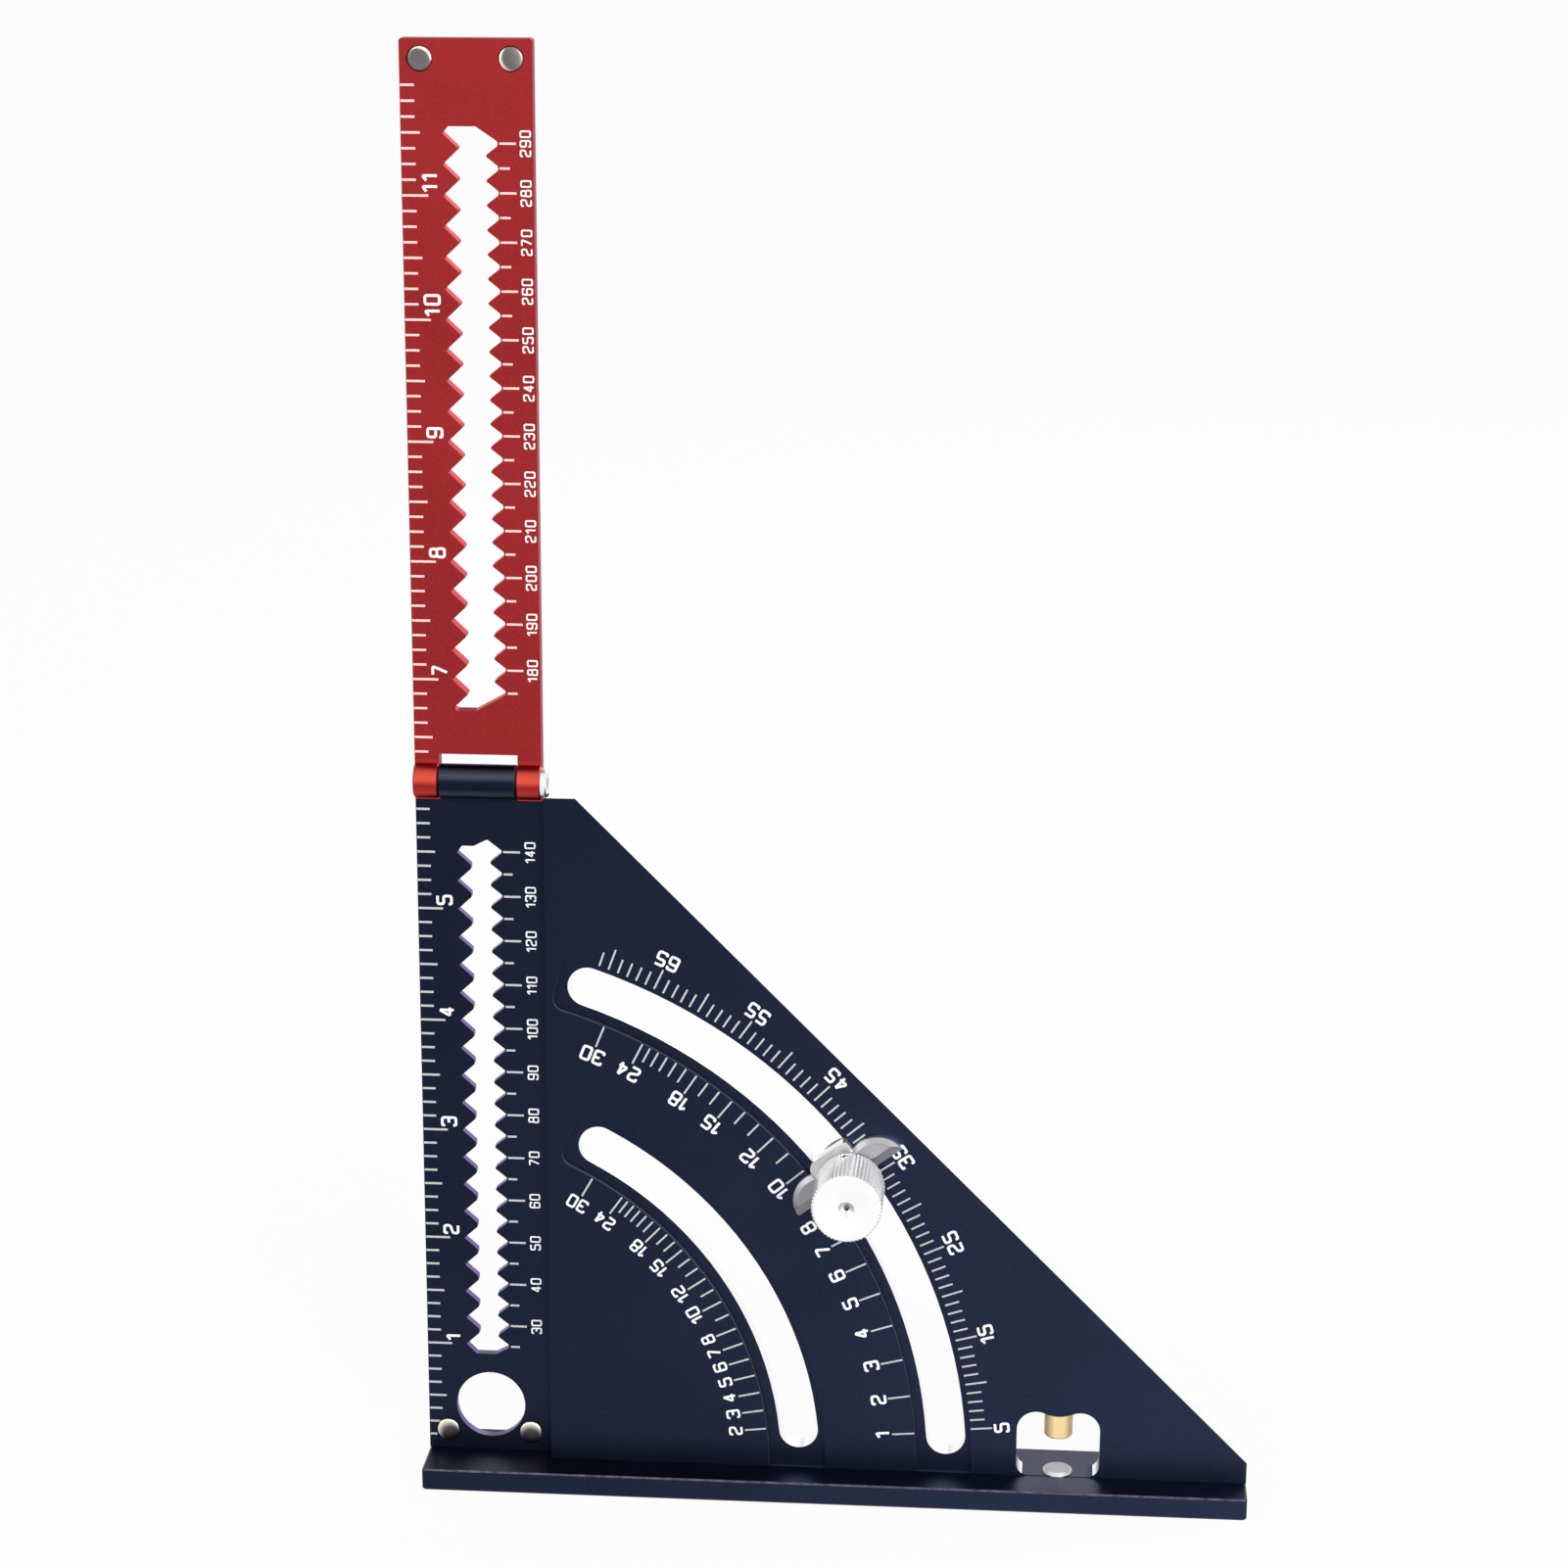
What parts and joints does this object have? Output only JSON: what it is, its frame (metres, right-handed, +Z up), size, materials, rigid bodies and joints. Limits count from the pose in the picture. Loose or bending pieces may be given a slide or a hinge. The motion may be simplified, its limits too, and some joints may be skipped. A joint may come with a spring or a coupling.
{
  "type": "folding rafter square",
  "caption": "Triangular rafter square with a T fence, a hinged ruler blade with toothed scribing slots, and a winged angle stop clamped in an arc slot by a knob.",
  "frame": {"origin": "middle of the fence's underside, the face that the square stands on", "axes": "+X along the fence from the ruling edge to the toe, +Y from the plate's front face to its back, +Z up along the ruling edge and the opened blade"},
  "size_m": [0.1834, 0.033, 0.3159],
  "materials": {
    "navy_anodised": "satin anodised",
    "red_anodised": "satin anodised",
    "bright_aluminium": "turned, clear anodised",
    "steel": "turned",
    "magnet": "nickel plated",
    "scale_white": "laser marked",
    "brass": "turned"
  },
  "bodies": {
    "square": {"square_body": "navy_anodised", "body_magnet_left": "magnet", "body_magnet_right": "magnet", "brass_stud": "brass", "steel_button": "steel"},
    "blade": {"fold_blade": "red_anodised", "hinge_screw": "steel", "blade_magnet_left": "magnet", "blade_magnet_right": "magnet"},
    "stop": {"angle_stop": "bright_aluminium"},
    "knob": {"thumb_knob": "bright_aluminium", "knob_grub_screw": "steel", "clamp_stud": "steel"},
    "disc": {"clamp_disc": "navy_anodised"}
  },
  "joints": [
    {"name": "blade_fold", "type": "hinge", "parent": "square", "child": "blade", "pos_m": [-0.078, 0.00075, 0.1606], "axis": [1, 0, 0], "range_deg": [0, 180]},
    {"name": "stop_swing", "type": "hinge", "parent": "square", "child": "stop", "pos_m": [-0.0917, 0, 0.005], "axis": [0, -1, 0], "range_deg": [-31.32, 34.08]},
    {"name": "knob_turn", "type": "hinge", "parent": "stop", "child": "knob", "pos_m": [0.00323, 0, 0.07334], "axis": [0, -1, 0], "range_deg": [0, 540]},
    {"name": "disc_slide", "type": "slide", "parent": "stop", "child": "disc", "axis": [0, 1, 0], "range_m": [0, 0.00121]}
  ],
  "couplings": [
    {"joint": "disc_slide", "follows": "knob_turn", "m_per_rad": 0.00012732}
  ]
}
